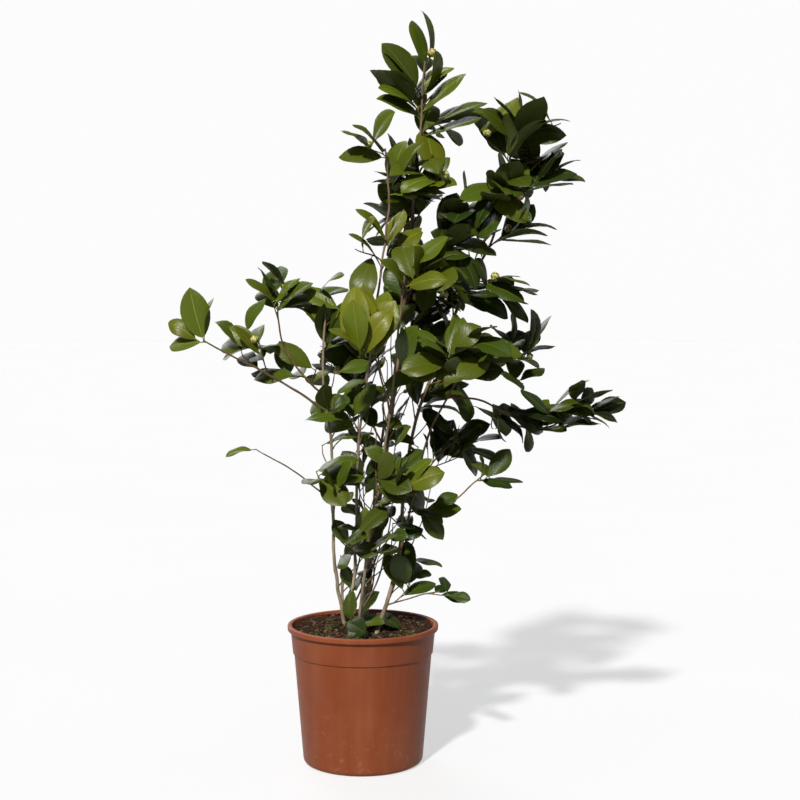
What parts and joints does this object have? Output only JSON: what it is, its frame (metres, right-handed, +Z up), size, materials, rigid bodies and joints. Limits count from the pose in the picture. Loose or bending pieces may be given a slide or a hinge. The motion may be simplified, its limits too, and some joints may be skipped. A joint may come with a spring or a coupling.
{
  "type": "camellia shrub in a pot",
  "caption": "Evergreen camellia shrub in bud, with several thin stems that fan out above a round terracotta-coloured plastic nursery pot filled with compost.",
  "frame": {"origin": "middle of the pot's flat underside, on the ground", "axes": "+Z up along the pot's axis, -Y the shrub's front, +X to its right as seen from the front"},
  "size_m": [0.71, 0.378, 1.185],
  "materials": {
    "pot": "satin",
    "compost": "matte",
    "stump": "matte",
    "stem_bark": "matte",
    "bough_bark": "matte",
    "foliage": "satin"
  },
  "bodies": {
    "root": {"pot": "pot", "root_ball": "compost", "stump": "stump", "stem_left": "stem_bark", "stem_inner": "stem_bark", "stem_leader": "stem_bark", "stem_middle": "stem_bark", "stem_right": "stem_bark", "stem_back": "stem_bark", "stem_cut_back": "stem_bark", "bough_fork": "bough_bark", "bough_left_arm": "bough_bark", "bough_left_crest": "bough_bark", "bough_left_twig": "bough_bark", "bough_front": "bough_bark", "bough_shoulder": "bough_bark", "bough_waist": "bough_bark", "bough_hip": "bough_bark", "bough_right_flank": "bough_bark", "bough_right_arm": "bough_bark", "bough_low_sprig": "bough_bark", "bough_back_left": "bough_bark", "leaves_top_tip": "foliage", "leaves_top_whorl": "foliage", "leaves_leader_right": "foliage", "leaves_leader_left": "foliage", "leaves_leader_heart": "foliage", "leaves_leader_cuff": "foliage", "leaves_crest": "foliage", "leaves_crest_right": "foliage", "leaves_crest_front": "foliage", "leaves_neck": "foliage", "leaves_core_right": "foliage", "leaves_right_wing": "foliage", "leaves_right_flank": "foliage", "leaves_bud_spray": "foliage", "leaves_front_fan": "foliage", "leaves_front_swag": "foliage", "leaves_left_tip": "foliage", "leaves_left_mid": "foliage", "leaves_left_crest": "foliage", "leaves_left_crown": "foliage", "leaves_left_under": "foliage", "leaves_left_inner": "foliage", "leaves_left_skirt": "foliage", "leaves_left_twig": "foliage", "leaves_waist_mid": "foliage", "leaves_waist_right": "foliage", "leaves_waist_back": "foliage", "leaves_hip": "foliage", "leaves_hip_right": "foliage", "leaves_foot_left": "foliage", "leaves_foot_right": "foliage", "leaves_low_sprig": "foliage", "leaves_right_arm": "foliage", "leaves_right_tip": "foliage", "leaves_back_high": "foliage", "leaves_back_mid": "foliage", "leaves_back_low": "foliage", "leaves_back_left": "foliage"}
  },
  "joints": []
}
